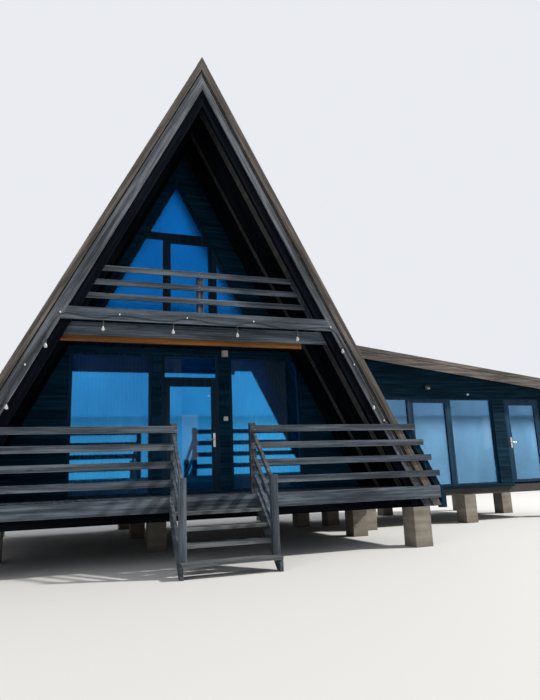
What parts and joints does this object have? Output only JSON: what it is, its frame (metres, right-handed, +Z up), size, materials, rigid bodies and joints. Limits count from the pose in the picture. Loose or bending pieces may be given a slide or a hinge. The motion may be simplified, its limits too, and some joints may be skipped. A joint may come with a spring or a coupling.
{
  "type": "a-frame cabin",
  "caption": "Timber A-frame cabin on concrete piers, with a porch, front stairs, a glazed gable over a balcony and a low side wing.",
  "frame": {"origin": "middle of the building's footprint at ground level", "axes": "+X to the right along the gable front, +Y from the front to the back, +Z up"},
  "size_m": [13.82, 9.513, 8.1473],
  "materials": {
    "concrete": "cast concrete",
    "sawn_timber": "sawn, oiled",
    "grey_boards": "weathered to silver grey",
    "brown_grey_boards": "stained and weathered",
    "dark_cladding": "blue-black stain",
    "floor_boards": "oiled",
    "light_timber": "clear oil",
    "roof_felt": "mineral felt",
    "dark_frame": "satin",
    "glass": "clear",
    "handle_steel": "brushed",
    "white_plastic": "satin",
    "cream_cloth": "plain weave",
    "black_cable": "matte",
    "cap_metal": "folded sheet"
  },
  "bodies": {
    "cabin": {"balcony_floor": "dark_cladding", "balcony_post": "grey_boards", "balcony_rails": "grey_boards", "balcony_rim": "grey_boards", "barge_boards": "grey_boards", "cabin_floor": "floor_boards", "concrete_piers": "concrete", "cross_beams": "sawn_timber", "curtain_rods": "handle_steel", "curtains": "cream_cloth", "deck_floor": "floor_boards", "deck_posts": "grey_boards", "deck_rails": "grey_boards", "deck_rim": "grey_boards", "door_frame": "dark_frame", "front_wall_head": "dark_cladding", "front_wall_left": "dark_cladding", "front_wall_posts": "dark_cladding", "front_wall_right": "dark_cladding", "gable_frame": "dark_frame", "gable_glass": "glass", "gable_wall": "dark_cladding", "porch_lamp": "white_plastic", "rafters": "brown_grey_boards", "rail_end_posts": "dark_cladding", "rear_wall": "dark_cladding", "ridge_cap": "cap_metal", "roof_left": "roof_felt", "roof_right": "roof_felt", "side_sills": "sawn_timber", "soffit_beam": "light_timber", "stair_posts": "grey_boards", "stair_rails": "grey_boards", "stair_stringers": "grey_boards", "stair_treads": "grey_boards", "string_bulbs": "glass", "string_cable": "black_cable", "string_holders": "black_cable", "upper_floor": "floor_boards", "verge_trim": "brown_grey_boards", "window_frames": "dark_frame", "window_glass": "glass", "wing_floor": "floor_boards", "wing_frames": "dark_frame", "wing_front_wall": "dark_cladding", "wing_glass": "glass", "wing_other_walls": "dark_cladding", "wing_roof": "roof_felt", "wing_supports": "concrete", "wing_trim": "grey_boards"},
    "front_door": {"door_leaf": "dark_frame", "door_glass": "glass", "door_handle": "handle_steel"},
    "wing_door": {"wing_door_leaf": "dark_frame", "wing_door_glass": "glass", "wing_door_handle": "handle_steel"}
  },
  "joints": [
    {"name": "front_door_hinge", "type": "hinge", "parent": "cabin", "child": "front_door", "pos_m": [-3.2335, -1.5175, 1.2], "axis": [0, 0, -1], "range_deg": [0, 95]},
    {"name": "wing_door_hinge", "type": "hinge", "parent": "cabin", "child": "wing_door", "pos_m": [6.1975, -0.4175, 1.2], "axis": [0, 0, 1], "range_deg": [0, 95]}
  ]
}
